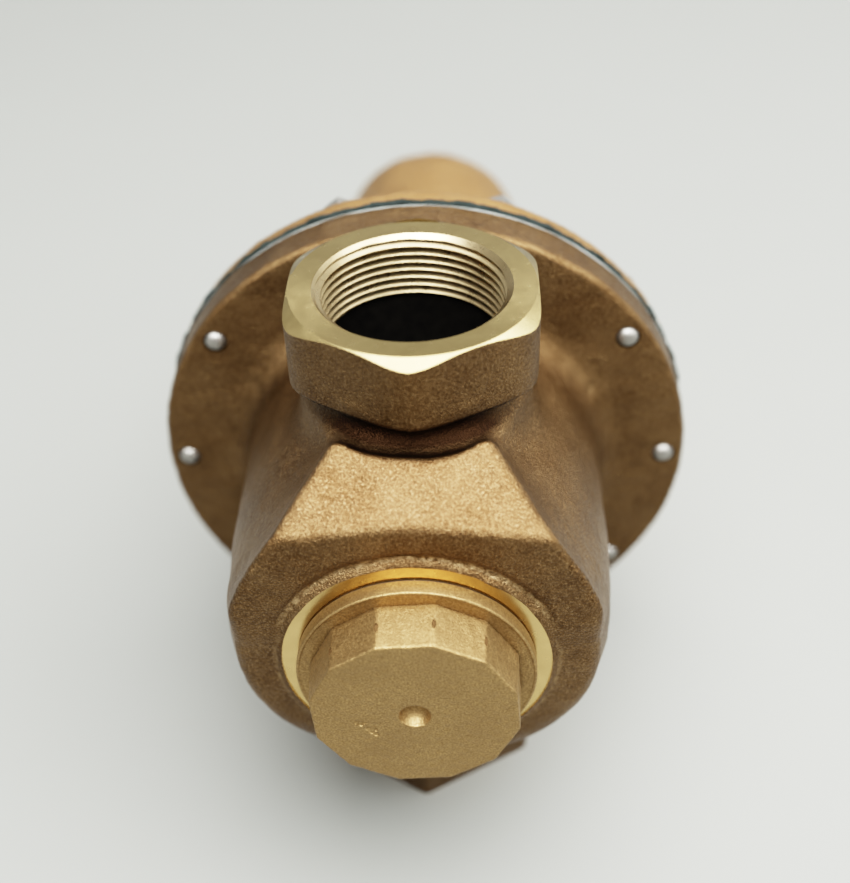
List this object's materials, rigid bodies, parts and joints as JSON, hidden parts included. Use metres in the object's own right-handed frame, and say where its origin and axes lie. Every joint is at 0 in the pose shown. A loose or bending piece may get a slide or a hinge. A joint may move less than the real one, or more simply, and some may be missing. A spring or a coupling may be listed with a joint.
{
  "type": "pressure reducing valve",
  "caption": "Direct-acting diaphragm pressure reducing valve with hex threaded ports, a screwed bottom plug, a bolted diaphragm flange and a spring cage with an adjusting screw.",
  "frame": {"origin": "the middle of the valve's bounding box: on the stem axis, 67.05 mm from the pipe run axis towards the spring cage", "axes": "+Z along the pipe run to the inlet port, +Y along the stem axis to the spring cage, -Y to the bottom plug, +X across both"},
  "size_m": [0.1528, 0.2678, 0.156],
  "materials": {
    "cast_bronze": "sand cast, rough",
    "cage_bronze": "sand cast",
    "machined_brass": "machined",
    "steel": "zinc plated",
    "spring_steel": "oiled wire",
    "rubber": "matt",
    "fibre": "matt sheet"
  },
  "bodies": {
    "casing": {"valve_body": "cast_bronze", "bottom_plug": "machined_brass", "plug_gasket": "fibre", "guide_bushing": "machined_brass", "seat_ring": "machined_brass", "diaphragm_gasket": "fibre", "diaphragm": "rubber", "spring_cage": "cage_bronze", "cage_screw_01": "steel", "cage_screw_02": "steel", "cage_screw_03": "steel", "cage_screw_04": "steel", "cage_screw_05": "steel", "cage_screw_06": "steel", "cage_screw_07": "steel", "cage_screw_08": "steel", "cage_screw_09": "steel", "cage_screw_10": "steel", "adjusting_spring": "spring_steel"},
    "stem": {"valve_stem": "steel", "disc_holder": "machined_brass", "seat_disc": "rubber", "disc_washer": "steel", "disc_nut": "steel", "diaphragm_washer": "machined_brass", "pressure_plate": "steel", "stem_nut": "steel"},
    "button": {"spring_button": "steel"},
    "screw": {"adjusting_screw": "steel"},
    "washer": {"lock_washer": "steel"},
    "nut": {"lock_nut": "steel"}
  },
  "joints": [
    {"name": "stem_slide", "type": "slide", "parent": "casing", "child": "stem", "axis": [0, 1, 0], "range_m": [0, 0.0058], "deforming": ["diaphragm", "adjusting_spring"]},
    {"name": "button_slide", "type": "slide", "parent": "casing", "child": "button", "axis": [0, 1, 0], "range_m": [0, 0.014]},
    {"name": "screw_turn", "type": "hinge", "parent": "button", "child": "screw", "pos_m": [0, 0.09, 0], "axis": [0, 1, 0], "range_deg": [0, 2882]},
    {"name": "washer_slide", "type": "slide", "parent": "casing", "child": "washer", "axis": [0, 1, 0], "range_m": [0, 0.00175]},
    {"name": "lock_nut_turn", "type": "hinge", "parent": "washer", "child": "nut", "pos_m": [0, 0.109, 0], "axis": [0, 1, 0], "range_deg": [0, 362]}
  ],
  "couplings": [
    {"joint": "screw_turn", "follows": "button_slide", "rad_per_m": 3590.4},
    {"joint": "lock_nut_turn", "follows": "washer_slide", "rad_per_m": 3590.4}
  ]
}
